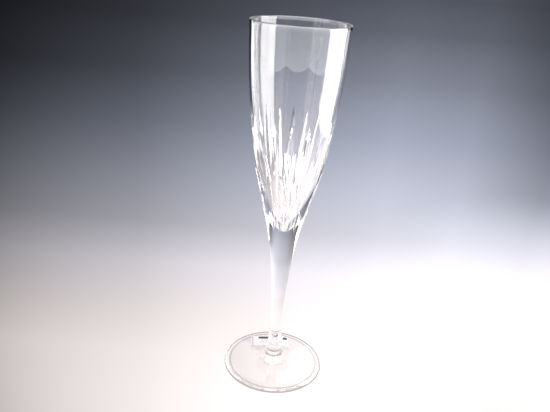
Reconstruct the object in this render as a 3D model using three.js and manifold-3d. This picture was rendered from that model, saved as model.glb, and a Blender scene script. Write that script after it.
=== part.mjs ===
// Cut-crystal champagne flute: a mitre-cut bowl, a drawn stem, an applied foot and a paper label.
// Millimetres, +Z up. The origin is the centre of the circle that the foot rests on.
import * as THREE from "three";
import { mergeVertices } from "three/addons/utils/BufferGeometryUtils.js";
import Module from "manifold-3d";

// ---------- driving dimensions ----------
const HEIGHT = 265;
const FOOT_RADIUS = 38;
const RIM_RADIUS = 33.3; // outside of the bowl at its mouth
const RIM_WALL = 1.3; // glass thickness at the mouth, rounded over in a half circle
const STEM_BOTTOM = 8.4; // where the stem is fused to the foot
const BOWL_BOTTOM = 88; // where the bowl is fused to the stem
const BOWL_FLOOR = 119.5; // lowest point of the inside
const JOINT_GAP = 0.3; // clearance left between neighbouring pieces

const SEGMENTS = 64; // around the axis
const BOWL_STEPS = 14; // along each side of the bowl's wall
const STEM_STEPS = 12;

// Outline of the stem and of the bowl's outside, as [radius, height], from the foot to the rim.
const OUTSIDE = [
  [7.1, STEM_BOTTOM],
  [7.5, 9.5],
  [6.7, 11.6],
  [6.0, 14.8],
  [5.2, 20.5],
  [4.55, 29],
  [4.4, 42],
  [5.0, 59],
  [6.7, 78],
  [8.3, 95],
  [10.7, 111],
  [14.2, 127],
  [18.8, 143],
  [22.7, 159],
  [26.2, 180],
  [28.9, 201],
  [31.1, 222],
  [32.6, 244],
  [RIM_RADIUS, HEIGHT - RIM_WALL / 2],
];

// Inside of the bowl, from its round floor to the rim.
const INSIDE = [
  [0, BOWL_FLOOR],
  [2.6, BOWL_FLOOR + 1.5],
  [5.2, 125.5],
  [8.4, 132],
  [12.4, 141],
  [16.9, 153.5],
  [20.3, 166],
  [23.3, 181],
  [26.6, 202],
  [29.3, 224],
  [31.1, 245],
  [RIM_RADIUS - RIM_WALL, HEIGHT - RIM_WALL / 2],
];

// Foot: a resting ring around a shallow hollow, a round edge and a low conical top.
const FOOT = {
  ringInner: 34,
  hollow: 1.4, // height of the hollow at the axis
  edgeRadius: 1.1,
  top: [
    [36.9, 2.2],
    [30, 3.2],
    [20, 4.7],
    [13, 6.2],
    [7.1, STEM_BOTTOM - JOINT_GAP],
  ],
};

// Two rings of long pointed V-cuts that alternate around the bowl.
const CUT_RINGS = [
  { count: 16, turn: 0, from: 126, to: 203, depth: 2.1, openness: 1.35 },
  { count: 16, turn: 0.5, from: 121, to: 169, depth: 1.9, openness: 1.35 },
];
const CUT_FULLNESS = 0.75; // below 1, a cut's ends are blunter than a plain arc's
const CUT_STATIONS = 8; // steps along each cut
const CUT_CLEARANCE = 1.2; // how far a cutter stands out of the glass
const CUT_RUNOUT = 0.1; // a cutter's two ends lie this far clear of the glass

const LABEL = {
  width: 31,
  depth: 17,
  thickness: 0.4,
  centre: [-3.7, 19.8],
  turn: THREE.MathUtils.degToRad(4),
  clearOfStem: 10.5, // least distance from the axis
};

// ---------- materials ----------
const crystal = () =>
  new THREE.MeshStandardMaterial({
    color: 0xe4e8ef,
    roughness: 0.03,
    metalness: 0,
    transparent: true,
    opacity: 0.4,
  });
const paper = () =>
  new THREE.MeshStandardMaterial({ color: 0xf1efee, roughness: 0.85, metalness: 0 });

// ---------- outlines ----------
const spline = (knots) => new THREE.SplineCurve(knots.map((knot) => new THREE.Vector2(...knot)));
const outside = spline(OUTSIDE);

// The parameter at which a rising outline reaches a height.
function parameterAt(curve, height) {
  let low = 0;
  let high = 1;
  for (let i = 0; i < 40; i++) {
    const middle = (low + high) / 2;
    if (curve.getPoint(middle).y < height) low = middle;
    else high = middle;
  }
  return (low + high) / 2;
}

const radiusAt = (height) => outside.getPoint(parameterAt(outside, height)).x;

// Points along an outline between two heights.
function stretch(curve, from, to, steps) {
  const start = parameterAt(curve, from);
  const end = parameterAt(curve, to);
  return Array.from({ length: steps + 1 }, (_, i) => {
    return curve.getPoint(THREE.MathUtils.lerp(start, end, i / steps));
  });
}

// ---------- solids ----------
const wasm = await Module();
wasm.setup();

// A profile of [radius, height] points turned about +Z.
function turned(points) {
  return new THREE.LatheGeometry(points, SEGMENTS).rotateX(Math.PI / 2);
}

function toSolid(geometry) {
  const bare = geometry.clone();
  bare.deleteAttribute("normal");
  bare.deleteAttribute("uv");
  const merged = mergeVertices(bare, 1e-4);
  const vertProperties = Float32Array.from(merged.attributes.position.array);
  const triVerts = Uint32Array.from(merged.index.array);
  return new wasm.Manifold(new wasm.Mesh({ numProp: 3, vertProperties, triVerts }));
}

function toGeometry(solid) {
  const { vertProperties, triVerts } = solid.getMesh();
  const geometry = new THREE.BufferGeometry();
  geometry.setAttribute("position", new THREE.BufferAttribute(vertProperties, 3));
  geometry.setIndex(new THREE.BufferAttribute(triVerts, 1));
  geometry.computeVertexNormals();
  return geometry;
}

// ---------- bowl ----------
// One cutter: a spindle of triangular section whose inner edge follows the glass and dips into it
// by `depth` half way along, as the edge of a mitre wheel does.
function cutter({ from, to, depth, openness }, angle) {
  const radial = new THREE.Vector3(Math.cos(angle), Math.sin(angle), 0);
  const tangent = new THREE.Vector3(-Math.sin(angle), Math.cos(angle), 0);
  const positions = [];
  for (let i = 0; i <= CUT_STATIONS; i++) {
    const share = i / CUT_STATIONS;
    const height = THREE.MathUtils.lerp(from, to, share);
    const arc = (4 * share * (1 - share)) ** CUT_FULLNESS;
    const dip = (depth + CUT_RUNOUT) * arc - CUT_RUNOUT;
    const radius = radiusAt(height);
    const halfWidth = (dip + CUT_CLEARANCE) * openness;
    for (const [out, side] of [
      [radius - dip, 0],
      [radius + CUT_CLEARANCE, halfWidth],
      [radius + CUT_CLEARANCE, -halfWidth],
    ]) {
      const point = radial.clone().multiplyScalar(out).addScaledVector(tangent, side);
      positions.push(point.x, point.y, height);
    }
  }
  const index = [0, 1, 2];
  for (let i = 0; i < CUT_STATIONS; i++) {
    for (let k = 0; k < 3; k++) {
      const a = 3 * i + k;
      const b = 3 * i + ((k + 1) % 3);
      index.push(a, b + 3, b, a, a + 3, b + 3);
    }
  }
  const last = 3 * CUT_STATIONS;
  index.push(last, last + 2, last + 1);
  const geometry = new THREE.BufferGeometry();
  geometry.setAttribute("position", new THREE.Float32BufferAttribute(positions, 3));
  geometry.setIndex(index);
  return geometry;
}

function bowlGeometry() {
  const rimCentre = HEIGHT - RIM_WALL / 2;
  const rim = new THREE.Path().absarc(RIM_RADIUS - RIM_WALL / 2, rimCentre, RIM_WALL / 2, 0, Math.PI);
  let cut = toSolid(
    turned([
      new THREE.Vector2(0, BOWL_BOTTOM),
      ...stretch(outside, BOWL_BOTTOM, rimCentre, BOWL_STEPS).slice(0, -1),
      ...rim.getPoints(2),
      ...spline(INSIDE).getPoints(BOWL_STEPS).reverse().slice(1),
    ]),
  );
  for (const ring of CUT_RINGS) {
    for (let i = 0; i < ring.count; i++) {
      const angle = ((i + ring.turn) / ring.count) * 2 * Math.PI;
      cut = cut.subtract(toSolid(cutter(ring, angle)));
    }
  }
  return toGeometry(cut);
}

// ---------- stem ----------
function stemGeometry() {
  const top = BOWL_BOTTOM - JOINT_GAP;
  return turned([
    new THREE.Vector2(0, STEM_BOTTOM),
    ...stretch(outside, STEM_BOTTOM, top, STEM_STEPS),
    new THREE.Vector2(0, top),
  ]);
}

// ---------- foot ----------
const footTop = spline(FOOT.top).getPoints(8);

function footGeometry() {
  const { ringInner, hollow, edgeRadius } = FOOT;
  const underside = new THREE.QuadraticBezierCurve(
    new THREE.Vector2(0, hollow),
    new THREE.Vector2(ringInner * 0.6, hollow),
    new THREE.Vector2(ringInner, 0),
  );
  const edge = new THREE.Path().absarc(
    FOOT_RADIUS - edgeRadius,
    edgeRadius,
    edgeRadius,
    -Math.PI / 2,
    Math.PI / 2,
  );
  return turned([
    ...underside.getPoints(4),
    ...edge.getPoints(3),
    ...footTop.slice(1),
    new THREE.Vector2(0, STEM_BOTTOM - JOINT_GAP),
  ]);
}

// ---------- label ----------
// A rectangle of paper that follows the slope of the foot's top.
function labelGeometry() {
  const rows = footTop.filter((point) => point.x > LABEL.clearOfStem);
  const lifted = (lift) => rows.map((point) => new THREE.Vector2(point.x, point.y + lift));
  const under = lifted(JOINT_GAP).reverse();
  const over = lifted(JOINT_GAP + LABEL.thickness);
  const sheet = toSolid(turned([...under, ...over, under[0]]));
  const [x, y] = LABEL.centre;
  const outline = new THREE.BoxGeometry(LABEL.width, LABEL.depth, FOOT_RADIUS).rotateZ(LABEL.turn);
  return toGeometry(sheet.intersect(toSolid(outline.translate(x, y, 0))));
}

// ---------- assembly ----------
function piece(name, geometry, material) {
  const mesh = new THREE.Mesh(geometry, material);
  mesh.name = name;
  return mesh;
}

const flute = new THREE.Group();
flute.name = "champagne_flute";
flute.add(
  piece("foot", footGeometry(), crystal()),
  piece("stem", stemGeometry(), crystal()),
  piece("bowl", bowlGeometry(), crystal()),
  piece("foot_label", labelGeometry(), paper()),
);

export default flute;
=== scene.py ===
"""The looks of a cut-crystal champagne flute: bowl, stem, foot and label, on a pale table."""

import math

import bmesh
import bpy
import numpy as np
from mathutils import Matrix, Vector


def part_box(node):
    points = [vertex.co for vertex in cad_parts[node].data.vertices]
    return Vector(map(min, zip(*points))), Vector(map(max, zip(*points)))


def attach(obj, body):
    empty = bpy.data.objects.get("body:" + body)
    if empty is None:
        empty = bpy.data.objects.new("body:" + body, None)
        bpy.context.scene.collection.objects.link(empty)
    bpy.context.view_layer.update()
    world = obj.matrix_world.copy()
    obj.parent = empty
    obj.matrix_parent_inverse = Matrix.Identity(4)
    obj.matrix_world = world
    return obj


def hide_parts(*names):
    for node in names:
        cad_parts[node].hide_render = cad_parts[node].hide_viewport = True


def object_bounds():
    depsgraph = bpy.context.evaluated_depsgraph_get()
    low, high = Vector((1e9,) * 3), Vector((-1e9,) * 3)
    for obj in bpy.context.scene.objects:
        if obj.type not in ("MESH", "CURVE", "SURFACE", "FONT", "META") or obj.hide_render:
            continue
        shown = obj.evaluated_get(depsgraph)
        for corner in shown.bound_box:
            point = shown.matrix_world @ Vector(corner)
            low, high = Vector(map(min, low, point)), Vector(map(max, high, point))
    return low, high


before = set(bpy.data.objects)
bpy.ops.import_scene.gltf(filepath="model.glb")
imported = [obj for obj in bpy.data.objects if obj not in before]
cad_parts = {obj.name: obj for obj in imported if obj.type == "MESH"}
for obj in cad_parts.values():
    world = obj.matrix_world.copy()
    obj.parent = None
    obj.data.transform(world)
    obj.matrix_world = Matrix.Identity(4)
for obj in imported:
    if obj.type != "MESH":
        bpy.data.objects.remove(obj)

CAD_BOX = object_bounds()
MM = 0.001
TURN = 2 * math.pi

# ---------- sizes, from the frame ----------
HEIGHT = CAD_BOX[1][2]
STEM_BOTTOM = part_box("stem")[0].z
BOWL_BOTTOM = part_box("bowl")[0].z
RIM_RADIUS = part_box("bowl")[1].x
FOOT_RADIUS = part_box("foot")[1].x

RIM_WALL = 1.3 * MM

# Outline of the stem and of the bowl's outside, as (radius, height) in millimetres.
OUTSIDE = [
    (7.1, 8.4),
    (7.5, 9.5),
    (6.7, 11.6),
    (6.0, 14.8),
    (5.2, 20.5),
    (4.55, 29),
    (4.4, 42),
    (5.0, 59),
    (6.7, 78),
    (8.3, 95),
    (10.7, 111),
    (14.2, 127),
    (18.8, 143),
    (22.7, 159),
    (26.2, 180),
    (28.9, 201),
    (31.1, 222),
    (32.6, 244),
    (33.3, 264.35),
]

# Inside of the bowl, from its floor to the rim.
INSIDE = [
    (0, 119.5),
    (2.6, 121),
    (5.2, 125.5),
    (8.4, 132),
    (12.4, 141),
    (16.9, 153.5),
    (20.3, 166),
    (23.3, 181),
    (26.6, 202),
    (29.3, 224),
    (31.1, 245),
    (32.0, 264.35),
]

BOWL_FLOOR = INSIDE[0][1] * MM

# Foot: a resting ring round a shallow hollow, a round edge and a low conical top.
FOOT_TOP = [(36.9, 2.2), (30, 3.2), (20, 4.7), (13, 6.2), (7.1, 8.4)]
FOOT_RING_INNER = 34 * MM
FOOT_HOLLOW = 1.4 * MM  # height of the hollow at the axis
FOOT_EDGE = 1.1 * MM  # radius of the round edge

# Two rings of pointed V-cuts that alternate round the bowl.
CUTS_PER_RING = 16
TALL_CUT = {"low": 126 * MM, "high": 203 * MM, "depth": 2.1 * MM}
SHORT_CUT = {"low": 121 * MM, "high": 169 * MM, "depth": 1.9 * MM}
CUT_FULLNESS = 0.75  # below 1, a cut's ends are blunter than a plain arc's
CUT_OPENNESS = 1.35  # half width over depth
CUT_HAIR = 0.1 * MM  # half width kept between the two edges of a cut where it has run out

SECTORS = 2 * CUTS_PER_RING
FLANK_STEPS = 3  # mesh columns across one flank of a cut
LAND_STEPS = 5  # mesh columns across the glass between two cuts
COLUMNS = SECTORS * (2 * FLANK_STEPS + LAND_STEPS)
BOWL_ROWS = (16, 110, 26)  # mesh rows below, along and above the cuts
RIM_ARCS = 8  # mesh steps over the rim's half circle
STEM_ROWS = 40  # mesh rows in the stem's flared end, and again in the rest of it
STEM_FLARE = 30 * MM  # height at which the flared end is over
HOLLOW_ROWS = 23
EDGE_ROWS = 15

# Near both ends of the cuts, the mesh columns ease into an even spacing. Each pair says how far
# past the cuts the easing is complete, and how long it is.
EASE_ABOVE = (6 * MM, 30 * MM)
EASE_BELOW = (6 * MM, 20 * MM)


# ---------- outlines ----------
def spline(knots, steps=24):
    """Catmull-Rom points through the knots, in metres."""
    p = np.array([knots[0], *knots, knots[-1]], float) * MM
    points = []
    for i in range(1, len(p) - 2):
        for t in np.arange(steps) / steps:
            points.append(
                0.5
                * (
                    2 * p[i]
                    + (p[i + 1] - p[i - 1]) * t
                    + (2 * p[i - 1] - 5 * p[i] + 4 * p[i + 1] - p[i + 2]) * t**2
                    + (3 * p[i] - 3 * p[i + 1] + p[i + 2] - p[i - 1]) * t**3
                )
            )
    points.append(p[-2])
    return np.array(points)


OUTSIDE_CURVE = spline(OUTSIDE)


def outside_radius(height):
    return np.interp(height, OUTSIDE_CURVE[:, 1], OUTSIDE_CURVE[:, 0])


# ---------- meshes ----------
def even_angles():
    return np.arange(COLUMNS) * TURN / COLUMNS


def linked(name, data):
    obj = bpy.data.objects.new(name, data)
    bpy.context.scene.collection.objects.link(obj)
    return obj


def grid_object(name, rows, smooth_to):
    """A mesh from rows of points: each row is a ring of COLUMNS points, or one point at a pole."""
    mesh = bpy.data.meshes.new(name)
    verts = []
    starts = []
    for row in rows:
        starts.append(len(verts))
        verts.extend(map(tuple, row))
    faces = []
    for a, b in zip(range(len(rows) - 1), range(1, len(rows))):
        ring_a, ring_b = len(rows[a]) > 1, len(rows[b]) > 1
        for i in range(COLUMNS):
            j = (i + 1) % COLUMNS
            if ring_a and ring_b:
                faces.append((starts[a] + i, starts[a] + j, starts[b] + j, starts[b] + i))
            elif ring_a:
                faces.append((starts[a] + i, starts[a] + j, starts[b]))
            else:
                faces.append((starts[a], starts[b] + j, starts[b] + i))
    mesh.from_pydata(verts, [], faces)
    mesh.validate()
    mesh.shade_smooth()
    mesh.set_sharp_from_angle(angle=math.radians(smooth_to))
    return linked(name, mesh)


def ring(radius, height, angles=None):
    angles = even_angles() if angles is None else angles
    radius = np.broadcast_to(radius, angles.shape)
    return np.stack(
        [radius * np.cos(angles), radius * np.sin(angles), np.full(angles.shape, height)], axis=1
    )


def pole(height):
    return np.array([[0.0, 0.0, height]])


# ---------- bowl ----------
def cut_dip(cut, height):
    """How deep a cut's root lies under the blown surface; nothing above and below the cut."""
    share = (height - cut["low"]) / (cut["high"] - cut["low"])
    return cut["depth"] * max(0.0, 4 * share * (1 - share)) ** CUT_FULLNESS


def clamped(share):
    return min(1.0, max(0.0, share))


def cut_row(height):
    """One ring of the bowl's outside, with columns on the roots, flanks and edges of the cuts."""
    radius = float(outside_radius(height))
    spacing = TURN / SECTORS  # angle from one cut's root to its neighbour's
    dips = [cut_dip(TALL_CUT, height), cut_dip(SHORT_CUT, height)]
    half = [dip * CUT_OPENNESS / radius for dip in dips]
    drawn = [max(h, CUT_HAIR / radius) for h in half]
    even = [spacing * FLANK_STEPS / (2 * FLANK_STEPS + LAND_STEPS)] * 2
    hold = clamped((TALL_CUT["high"] + EASE_ABOVE[0] - height) / EASE_ABOVE[1])
    hold *= clamped((height - SHORT_CUT["low"] + EASE_BELOW[0]) / EASE_BELOW[1])
    reach = [max(h, d * hold + e * (1 - hold)) for h, d, e in zip(half, drawn, even)]
    if sum(reach) > spacing:  # the two cuts meet in a ridge
        ridge = 0.5 * (spacing + half[0] - half[1])
        reach = [ridge, spacing - ridge]
    angles, depths = [], []
    for sector in range(SECTORS):
        near, far = (0, 1) if sector % 2 == 0 else (1, 0)
        start = sector * spacing
        marks = np.concatenate(
            [
                np.linspace(0, reach[near], FLANK_STEPS, endpoint=False),
                np.linspace(reach[near], spacing - reach[far], LAND_STEPS, endpoint=False),
                np.linspace(spacing - reach[far], spacing, FLANK_STEPS, endpoint=False),
            ]
        )
        own = dips[near] - marks * radius / CUT_OPENNESS
        other = dips[far] - (spacing - marks) * radius / CUT_OPENNESS
        angles.append(start + marks)
        depths.append(np.maximum(0.0, np.maximum(own, other)))
    return ring(radius - np.concatenate(depths), height, np.concatenate(angles))


def bowl():
    lip = RIM_WALL / 2
    below, along, above = BOWL_ROWS
    heights = np.concatenate(
        [
            np.linspace(BOWL_BOTTOM, SHORT_CUT["low"], below, endpoint=False),
            np.linspace(SHORT_CUT["low"], TALL_CUT["high"], along, endpoint=False),
            np.linspace(TALL_CUT["high"], HEIGHT - lip, above),
        ]
    )
    rows = [pole(BOWL_BOTTOM)]
    rows += [cut_row(z) for z in heights]
    for angle in np.linspace(0, math.pi, RIM_ARCS + 1)[1:-1]:
        inset, drop = lip * (1 - math.cos(angle)), lip * (1 - math.sin(angle))
        rows.append(ring(RIM_RADIUS - inset, HEIGHT - drop))
    inner = spline(INSIDE, 5)[::-1]
    rows += [ring(r, z) for r, z in inner[:-1]]
    rows.append(pole(BOWL_FLOOR))
    return grid_object("crystal_bowl", rows, smooth_to=14.0)


# ---------- stem ----------
def stem():
    heights = np.concatenate(
        [
            np.linspace(STEM_BOTTOM, STEM_FLARE, STEM_ROWS, endpoint=False),
            np.linspace(STEM_FLARE, BOWL_BOTTOM, STEM_ROWS),
        ]
    )
    rows = [pole(STEM_BOTTOM)]
    rows += [ring(outside_radius(z), z) for z in heights]
    rows.append(pole(BOWL_BOTTOM))
    return grid_object("crystal_stem", rows, smooth_to=40.0)


# ---------- foot ----------
FOOT_TOP_CURVE = spline(FOOT_TOP, 10)


def foot():
    rows = [pole(FOOT_HOLLOW)]
    for share in np.linspace(0, 1, HOLLOW_ROWS + 1)[1:]:
        rows.append(ring(FOOT_RING_INNER * share, FOOT_HOLLOW * (1 - share**2) ** 2))
    for angle in np.linspace(-math.pi / 2, math.pi / 2, EDGE_ROWS):
        inset, rise = FOOT_EDGE * (1 - math.cos(angle)), FOOT_EDGE * (1 + math.sin(angle))
        rows.append(ring(FOOT_RADIUS - inset, rise))
    rows += [ring(r, z) for r, z in FOOT_TOP_CURVE[1:]]
    rows.append(pole(STEM_BOTTOM))
    return grid_object("crystal_foot", rows, smooth_to=40.0)


# ---------- label ----------
LABEL_CENTRE = (-3.7 * MM, 19.8 * MM)
LABEL_TURN = math.radians(4)
LABEL_SIZE = (31 * MM, 17 * MM)
LABEL_CORNER = 1.6 * MM  # radius of the die-cut corners
PAPER = 0.15 * MM
INK = 0.02 * MM
PAPER_LIFT = 0.04 * MM  # how far the paper stands off the glass
RIPPLE_HEIGHT = 0.03 * MM
RIPPLE_SCALE = (2.3 * MM, 3.1 * MM)
CURL_HEIGHT = 6 * MM
CURL_START = 0.6  # of the way from the label's centre to the loose corner
BAR_CORNER = 0.1 * MM
LABEL_STEPS = (58, 34)  # mesh steps across and along the paper
BAR_STEPS = 2  # mesh steps to a millimetre of a bar

# Plain printed bars, as (x, y, width, depth) in millimetres from the label's centre.
DARK_BARS = [
    (-4.5, 5.6, 9.6, 3.6),
    (2.8, 5.6, 2.8, 3.6),
    (7.4, 5.6, 3.4, 3.6),
    (12.9, 5.6, 3.4, 3.6),
]
# Pale mauve-grey bars: a stripe down the label's left edge, then thin lines of print.
PALE_BARS = [
    (-14.2, 0, 1.2, 14),
    (-4.4, 1.6, 7.6, 0.7),
    (-5.2, -0.4, 6.0, 0.7),
    (-4.8, -2.4, 6.8, 0.7),
    (7.5, 0.8, 8.0, 0.7),
    (7.0, -1.2, 7.0, 0.7),
]


def label_point(x, y, lift):
    """A point over the foot's top from label coordinates; one corner has let go a little."""
    across = x * math.cos(LABEL_TURN) - y * math.sin(LABEL_TURN) + LABEL_CENTRE[0]
    along = x * math.sin(LABEL_TURN) + y * math.cos(LABEL_TURN) + LABEL_CENTRE[1]
    glass = np.interp(math.hypot(across, along), FOOT_TOP_CURVE[::-1, 0], FOOT_TOP_CURVE[::-1, 1])
    ripple = abs(math.sin(x / RIPPLE_SCALE[0]) * math.cos(y / RIPPLE_SCALE[1]))
    curl = max(0.0, -x / LABEL_SIZE[0] - y / LABEL_SIZE[1] - CURL_START)
    lift += PAPER_LIFT + RIPPLE_HEIGHT * ripple + CURL_HEIGHT * curl**2
    return (across, along, float(glass) + lift)


def draped_plate(bm, place, size, corner, low, high, steps, slot):
    """A closed thin plate with round corners, laid over the foot's top."""
    columns, rows = steps
    layers = []
    for lift in (low, high):
        layer = []
        for j in range(rows + 1):
            y = size[1] * (j / rows - 0.5)
            into = max(0.0, abs(y) - (size[1] / 2 - corner))
            half = size[0] / 2 - corner + math.sqrt(max(0.0, corner**2 - into**2))
            xs = [place[0] + half * (2 * i / columns - 1) for i in range(columns + 1)]
            layer.append([bm.verts.new(label_point(x, place[1] + y, lift)) for x in xs])
        layers.append(layer)
    under, over = layers
    faces = []
    for j in range(rows):
        for i in range(columns):
            faces.append((over[j][i], over[j][i + 1], over[j + 1][i + 1], over[j + 1][i]))
            faces.append((under[j][i], under[j + 1][i], under[j + 1][i + 1], under[j][i + 1]))
    border = [(0, i) for i in range(columns)] + [(j, columns) for j in range(rows)]
    border += [(rows, i) for i in range(columns, 0, -1)] + [(j, 0) for j in range(rows, 0, -1)]
    for (j, i), (m, k) in zip(border, border[1:] + border[:1]):
        faces.append((under[j][i], under[m][k], over[m][k], over[j][i]))
    for corners in faces:
        face = bm.faces.new(corners)
        face.material_index = slot
        face.smooth = True


def label():
    """A die-cut paper sticker with plain printed bars."""
    bm = bmesh.new()
    draped_plate(bm, (0, 0), LABEL_SIZE, LABEL_CORNER, 0, PAPER, LABEL_STEPS, 0)
    for slot, bars in ((1, DARK_BARS), (2, PALE_BARS)):
        for bar in bars:
            x, y, width, depth = (value * MM for value in bar)
            steps = [max(2, round(length * BAR_STEPS)) for length in bar[2:]]
            draped_plate(bm, (x, y), (width, depth), BAR_CORNER, PAPER, PAPER + INK, steps, slot)
    mesh = bpy.data.meshes.new("paper_label")
    bm.to_mesh(mesh)
    bm.free()
    mesh.set_sharp_from_angle(angle=math.radians(40))
    return linked("paper_label", mesh)


# ---------- materials ----------
CRYSTAL_COLOUR = (1.0, 0.99, 0.988)
CRYSTAL_IOR = 1.54
CRYSTAL_HAZE = 0.03  # the roughness at its haziest
NOISE_SPAN = (0.35, 0.7)  # the noise values that map to the ends of a range
FIBRE_HEIGHT = 0.04 * MM
JOINT_TOLERANCE = 1e-6  # how far from a joint's height one of its faces may lie

# The label's paper and inks, in slot order: dark and light colour, roughness, scale of mottling.
PRINT = {
    "label_paper": ((0.42, 0.41, 0.42), (0.49, 0.48, 0.49), 0.75, 900),
    "dark_ink": ((0.01, 0.012, 0.02), (0.03, 0.035, 0.05), 0.45, 1500),
    "pale_ink": ((0.27, 0.23, 0.28), (0.36, 0.31, 0.37), 0.5, 1500),
}


def new_material(name):
    material = bpy.data.materials.new(name)
    material.use_nodes = True
    return material, material.node_tree.nodes, material.node_tree.links


def math_node(nodes, links, operation, *inputs):
    node = nodes.new("ShaderNodeMath")
    node.operation = operation
    for socket, value in zip(node.inputs, inputs):
        if isinstance(value, (int, float)):
            socket.default_value = value
        else:
            links.new(value, socket)
    return node.outputs["Value"]


def range_node(nodes, links, value, start, end, low, high, interpolation="LINEAR"):
    node = nodes.new("ShaderNodeMapRange")
    node.interpolation_type = interpolation
    node.inputs["From Min"].default_value = start
    node.inputs["From Max"].default_value = end
    node.inputs["To Min"].default_value = low
    node.inputs["To Max"].default_value = high
    links.new(value, node.inputs["Value"])
    return node.outputs["Result"]


def noise_range(nodes, links, scale, detail, low, high):
    """A noise over the object, mapped to a range of values."""
    place = nodes.new("ShaderNodeTexCoord")
    noise = nodes.new("ShaderNodeTexNoise")
    noise.inputs["Scale"].default_value = scale
    noise.inputs["Detail"].default_value = detail
    links.new(place.outputs["Object"], noise.inputs["Vector"])
    return range_node(nodes, links, noise.outputs["Fac"], *NOISE_SPAN, low, high)


def crystal_material():
    """Clear lead crystal, fire polished, with the faintest handling haze."""
    material, nodes, links = new_material("crystal")
    shader = nodes["Principled BSDF"]
    shader.inputs["Base Color"].default_value = (*CRYSTAL_COLOUR, 1)
    shader.inputs["Transmission Weight"].default_value = 1.0
    shader.inputs["IOR"].default_value = CRYSTAL_IOR
    haze = noise_range(nodes, links, 70, 3, 0.0, CRYSTAL_HAZE)
    links.new(haze, shader.inputs["Roughness"])
    return material


def fused_material():
    """The hidden face where two gathers of glass are fused: light goes straight through it."""
    material, nodes, _ = new_material("fused_glass_joint")
    nodes["Principled BSDF"].inputs["Alpha"].default_value = 0.0
    return material


def print_material(name, dark, light, roughness, scale):
    """Paper or ink: a mottled colour with a fibrous bump."""
    material, nodes, links = new_material(name)
    shader = nodes["Principled BSDF"]
    shader.inputs["Roughness"].default_value = roughness
    mix = nodes.new("ShaderNodeMix")
    mix.data_type = "RGBA"
    mix.inputs["A"].default_value = (*dark, 1)
    mix.inputs["B"].default_value = (*light, 1)
    links.new(noise_range(nodes, links, scale, 5, 0.0, 1.0), mix.inputs["Factor"])
    links.new(mix.outputs["Result"], shader.inputs["Base Color"])
    fibres = noise_range(nodes, links, 4 * scale, 6, 0.0, 1.0)
    bump = nodes.new("ShaderNodeBump")
    bump.inputs["Distance"].default_value = FIBRE_HEIGHT
    bump.inputs["Strength"].default_value = 0.5
    links.new(fibres, bump.inputs["Height"])
    links.new(bump.outputs["Normal"], shader.inputs["Normal"])
    return material


# ---------- stage ----------
TABLE_RADIUS = 14.0
TABLE_DROP = 0.2 * MM  # keeps the table clear of the foot's resting ring
LAMP_DEPTH = 0.4  # how far in front of the glass the light starts to fan out over the table
DEPTH_RANGE = (0.3, 8.0)  # the ramps' ends, in metres from the lamp's place
FAN_EDGE = 60  # degrees to each side

# Radiance of the table straight ahead, by depth from the lamp's place.
FALL = [
    (0.35, 1.18),
    (0.55, 1.02),
    (0.65, 0.72),
    (0.8, 0.62),
    (1.1, 0.43),
    (1.7, 0.26),
    (3, 0.145),
    (6.5, 0.1),
]
# The share of it that is left at an azimuth to the right of straight ahead, in degrees.
FAN = [(-30, 0.055), (-15, 0.31), (0, 0.75), (10, 1.0), (17, 0.91), (24, 0.47), (30, 0.4)]
# The fan's exponent by depth: soft near the glass and crisp far from it.
CRISPNESS = [(0.4, 0.28), (1.6, 1.22)]
# The light's colour by depth, from warm near the glass to slate blue far away.
TINT = [
    (0.45, (1.06, 0.975, 0.97)),
    (0.6, (1.0, 0.975, 1.07)),
    (0.8, (0.94, 0.975, 1.155)),
    (1.1, (0.9, 0.97, 1.21)),
]
# A round pool of light on the table, to the right of the glass.
POOL_PLACE = (0.37, 0.135, 0.0)
POOL_RADIUS = 0.32
POOL_GLOW = 0.56
# The shade under the resting ring and the foot's edge: the share of light left, by radius in mm.
CONTACT = [(33.2, 1), (34.2, 0.5), (35.2, 1), (36.4, 1), (37.3, 0.35), (38.3, 0.5), (39, 1)]
CONTACT_REACH = 42 * MM
# The faint shade inside the foot: the share of light left, by x in metres.
FOOT_SHADE = ((-0.034, 0.74), (0.034, 0.98))
FOOT_SHADE_EDGE = (35 * MM, 36 * MM)  # the radii between which it ends
# Radiance of the table in front of the glass, by distance from it: dull under the camera, bright
# beyond it, and duller far away.
FRONT_GLOW = [(0.18, 0.3), (0.28, 1.2), (0.5, 1.2), (1.0, 0.55)]
FRONT_DEPTHS = (0.32, 0.24)  # the depths from the lamp's place between which it takes over
BOUNCE = 0.01  # the table's colour, as a share of its painted glow, so it is lighter where the painted light falls
RAMP_SCALE = 0.5  # keeps the ramps' values below 1


def ramp_node(nodes, links, value, stops):
    """A colour ramp through (position, (r, g, b)) stops; it gives RAMP_SCALE times its colours."""
    ramp = nodes.new("ShaderNodeValToRGB")
    elements = ramp.color_ramp.elements
    elements[0].position, elements[1].position = stops[0][0], stops[-1][0]
    for position, _ in stops[1:-1]:
        elements.new(position)
    for element, (position, colour) in zip(elements, stops):
        element.position = position
        element.color = (*(RAMP_SCALE * c for c in colour), 1)
    links.new(value, ramp.inputs["Fac"])
    return ramp.outputs["Color"]


def grey_ramp_node(nodes, links, value, stops):
    """A ramp through (position, value) stops, at the stops' own values."""
    ramp = ramp_node(nodes, links, value, [(position, (v, v, v)) for position, v in stops])
    return math_node(nodes, links, "DIVIDE", ramp, RAMP_SCALE)


def distance_node(nodes, links, place, origin):
    distance = nodes.new("ShaderNodeVectorMath")
    distance.operation = "DISTANCE"
    distance.inputs[1].default_value = origin
    links.new(place, distance.inputs[0])
    return distance.outputs["Value"]


def depth_share(depth):
    """Where a depth in metres lies on the ramps, which are logarithmic."""
    near, far = (math.log10(end) for end in DEPTH_RANGE)
    return (math.log10(depth) - near) / (far - near)


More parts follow.
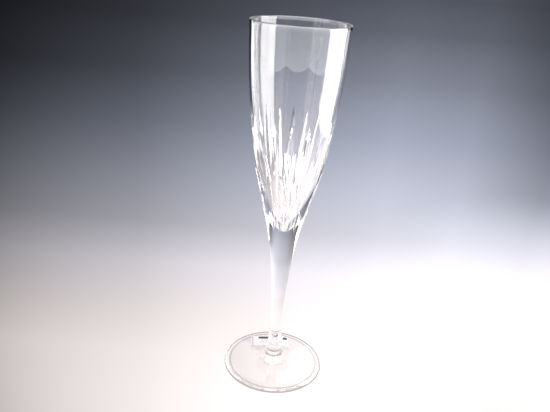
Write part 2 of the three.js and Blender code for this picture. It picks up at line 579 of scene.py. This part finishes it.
def lamp_glow(nodes, links, depth_log, share, azimuth):
    """The light behind the glass: its fall along the table times its fan across it."""
    fall = grey_ramp_node(nodes, links, share, [(depth_share(d), v) for d, v in FALL])
    edge = math.radians(FAN_EDGE)
    side = range_node(nodes, links, azimuth, -edge, edge, 0, 1)
    fan = grey_ramp_node(nodes, links, side, [(0.5 + a / FAN_EDGE / 2, v) for a, v in FAN])
    (near, near_power), (far, far_power) = CRISPNESS
    ends = (math.log10(near), math.log10(far), near_power, far_power)
    power = range_node(nodes, links, depth_log, *ends)
    return math_node(nodes, links, "MULTIPLY", fall, math_node(nodes, links, "POWER", fan, power))


def foot_shade(nodes, links, x, radius):
    """The share of the table's light that is left under the foot and around it."""
    about = range_node(nodes, links, radius, 0, CONTACT_REACH, 0, 1)
    stops = [(r * MM / CONTACT_REACH, v) for r, v in CONTACT]
    contact = grey_ramp_node(nodes, links, about, stops)
    (left, dim), (right, full) = FOOT_SHADE
    shade = range_node(nodes, links, x, left, right, dim, full)
    beyond = range_node(nodes, links, radius, *FOOT_SHADE_EDGE, 0, 1)
    shade = math_node(nodes, links, "MAXIMUM", shade, beyond)
    return math_node(nodes, links, "MULTIPLY", contact, shade)


def table_material():
    """Matte table paper that glows by itself where the lamps would light it."""
    material, nodes, links = new_material("table_paper")
    shader = nodes["Principled BSDF"]
    shader.inputs["Roughness"].default_value = 0.95
    shader.inputs["Specular IOR Level"].default_value = 0.0
    place = nodes.new("ShaderNodeTexCoord").outputs["Object"]
    split = nodes.new("ShaderNodeSeparateXYZ")
    links.new(place, split.inputs["Vector"])
    x = split.outputs["X"]
    depth = math_node(nodes, links, "ADD", split.outputs["Y"], LAMP_DEPTH)
    depth_log = math_node(nodes, links, "LOGARITHM", depth, 10)
    share = range_node(nodes, links, depth_log, *map(math.log10, DEPTH_RANGE), 0, 1)
    radius = distance_node(nodes, links, place, (0, 0, 0))

    glow = lamp_glow(nodes, links, depth_log, share, math_node(nodes, links, "ARCTAN2", x, depth))
    from_pool = distance_node(nodes, links, place, POOL_PLACE)
    pool = range_node(nodes, links, from_pool, POOL_RADIUS, 0, 0, POOL_GLOW, "SMOOTHSTEP")
    glow = math_node(nodes, links, "ADD", glow, pool)
    mix = nodes.new("ShaderNodeMix")
    front = range_node(nodes, links, depth, *FRONT_DEPTHS, 0, 1, "SMOOTHSTEP")
    links.new(front, mix.inputs["Factor"])
    links.new(glow, mix.inputs["A"])
    links.new(grey_ramp_node(nodes, links, radius, FRONT_GLOW), mix.inputs["B"])
    shade = foot_shade(nodes, links, x, radius)
    glow_left = math_node(nodes, links, "MULTIPLY", mix.outputs["Result"], shade)

    tint = ramp_node(nodes, links, share, [(depth_share(d), colour) for d, colour in TINT])
    strength = math_node(nodes, links, "DIVIDE", glow_left, RAMP_SCALE)
    links.new(tint, shader.inputs["Emission Color"])
    links.new(strength, shader.inputs["Emission Strength"])
    # The table's colour follows its painted glow and pool of light.
    links.new(math_node(nodes, links, "MULTIPLY", glow, BOUNCE), shader.inputs["Base Color"])
    return material


def stage_floor():
    """A pale table that glows white near the glass and falls off to slate grey."""
    mesh = bpy.data.meshes.new("table")
    bm = bmesh.new()
    bmesh.ops.create_circle(bm, cap_ends=True, radius=TABLE_RADIUS, segments=128)
    bm.to_mesh(mesh)
    bm.free()
    floor = linked("table", mesh)
    floor.location.z = -TABLE_DROP
    mesh.materials.append(table_material())


# ---------- lights ----------
# Softboxes that stand on or over the table: the (azimuth, distance) of both edges, the heights of
# the bottom and top, and the radiance. An azimuth is clockwise from the camera's side, in degrees.
SOFTBOXES = {
    "right_softbox": ((-66, 0.34), (-118, 0.34), (0.065, 0.5), 7),
    "right_rear_softbox": ((-122, 0.42), (-138, 0.92), (0.065, 0.5), 1.2),
    "left_front_softbox": ((30, 0.34), (50, 0.34), (0.0, 0.5), 0.6),
    "left_softbox": ((56, 0.34), (104, 0.34), (0.0, 0.5), 0.9),
    "left_rear_softbox": ((104, 0.34), (128, 0.52), (0.0, 0.5), 1.8),
    "left_edge_softbox": ((128, 0.52), (138, 0.92), (0.0, 0.5), 4),
    "front_right_softbox": ((-70, 0.9), (-25, 0.9), (0.0, 0.7), 3.2),
    "front_softbox": ((-25, 0.9), (25, 0.9), (0.0, 0.7), 3.2),
    "front_left_softbox": ((25, 0.9), (70, 0.9), (0.0, 0.7), 3.2),
}
# The front ones show in reflections, but not through the glass from behind.
REFLECTED_ONLY = {"front_right_softbox", "front_softbox", "front_left_softbox"}

# Square softboxes hung above the table: place, size and radiance.
OVERHEADS = {
    "top_softbox": ((0, 0, 1.2), 1.0, 2),
    "rear_top_softbox": ((0, 1.3, 1.3), 1.4, 1),
}

WORLD_COLOUR = (1.06, 0.965, 0.94)
# The world's strength by the y of a direction, from the rear to the front.
WORLD_REAR = (0.3, 0.5)
WORLD_FRONT = (-0.8, 0.9)


def floor_point(azimuth, distance):
    turn = math.radians(azimuth)
    return Vector((-distance * math.sin(turn), -distance * math.cos(turn), 0))


def softbox(name, start, end, heights, radiance):
    """A softbox that stands between two (azimuth, distance) points and faces the glass."""
    a, b = floor_point(*start), floor_point(*end)
    low, high = heights
    light = bpy.data.lights.new(name, "AREA")
    light.shape = "RECTANGLE"
    light.size, light.size_y = (b - a).length, high - low
    light.energy = radiance * light.size * light.size_y * math.pi
    along, up = (b - a).normalized(), Vector((0, 0, 1))
    if along.cross(up).dot(a + b) < 0:
        along = -along
    obj = linked(name, light)
    obj.matrix_world = Matrix.LocRotScale(
        (a + b) / 2 + up * (low + high) / 2,
        Matrix((along, up, along.cross(up))).transposed().to_quaternion(),
        None,
    )
    obj.visible_transmission = name not in REFLECTED_ONLY


def overhead(name, place, size, radiance):
    """A square softbox hung above the table and turned to face the glass."""
    light = bpy.data.lights.new(name, "AREA")
    light.size = size
    light.energy = radiance * size**2 * math.pi
    obj = linked(name, light)
    obj.location = place
    obj.rotation_euler = Vector(place).to_track_quat("Z", "Y").to_euler()


def studio_world():
    """A plain warm surround, brighter in front of the glass than behind it."""
    world = bpy.data.worlds.new("studio")
    world.use_nodes = True
    nodes, links = world.node_tree.nodes, world.node_tree.links
    split = nodes.new("ShaderNodeSeparateXYZ")
    links.new(nodes.new("ShaderNodeTexCoord").outputs["Generated"], split.inputs["Vector"])
    (rear, dim), (front, bright) = WORLD_REAR, WORLD_FRONT
    strength = range_node(nodes, links, split.outputs["Y"], rear, front, dim, bright, "SMOOTHSTEP")
    nodes["Background"].inputs["Color"].default_value = (*WORLD_COLOUR, 1)
    links.new(strength, nodes["Background"].inputs["Strength"])
    bpy.context.scene.world = world


def lights():
    for name, (start, end, heights, radiance) in SOFTBOXES.items():
        softbox(name, start, end, heights, radiance)
    for name, (place, size, radiance) in OVERHEADS.items():
        overhead(name, place, size, radiance)
    studio_world()


# ---------- camera ----------
CAMERA_PLACE = (0, -1.508 * HEIGHT, 1.1423 * HEIGHT)
CAMERA_PITCH = 22.68  # degrees down from level
CAMERA_YAW = -1.11
CAMERA_ROLL = 4.44
CAMERA_LENS = 39.16  # millimetres, on a sensor 36 mm wide


def camera():
    """Above the table in front of the glass, looking down and a little tilted."""
    data = bpy.data.cameras.new("camera")
    data.sensor_width = 36
    data.lens = CAMERA_LENS
    obj = linked("camera", data)
    pitch, yaw, roll = (math.radians(a) for a in (CAMERA_PITCH, CAMERA_YAW, CAMERA_ROLL))
    look = Matrix.Rotation(-yaw, 4, "Z") @ Matrix.Rotation(math.pi / 2 - pitch, 4, "X")
    obj.matrix_world = Matrix.Translation(CAMERA_PLACE) @ look @ Matrix.Rotation(roll, 4, "Z")
    bpy.context.scene.camera = obj


# ---------- scene ----------
camera()
stage_floor()
lights()
bpy.context.scene.view_settings.view_transform = "Standard"
bpy.context.scene.cycles.max_bounces = 32
bpy.context.scene.cycles.transmission_bounces = 32
bpy.context.scene.cycles.glossy_bounces = 16

crystal = crystal_material()
fused = fused_material()
for node, piece in {"bowl": bowl(), "stem": stem(), "foot": foot()}.items():
    piece.data.materials.append(crystal)
    piece.data.materials.append(fused)
    for face in piece.data.polygons:
        in_cap = len(face.vertices) == 3
        from_joint = min(abs(face.center.z - z) for z in (STEM_BOTTOM, BOWL_BOTTOM))
        if in_cap and from_joint < JOINT_TOLERANCE:
            face.material_index = 1
    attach(piece, "root")
    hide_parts(node)

sticker = label()
for name, (dark, light, roughness, scale) in PRINT.items():
    sticker.data.materials.append(print_material(name, dark, light, roughness, scale))
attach(sticker, "root")
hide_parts("foot_label")
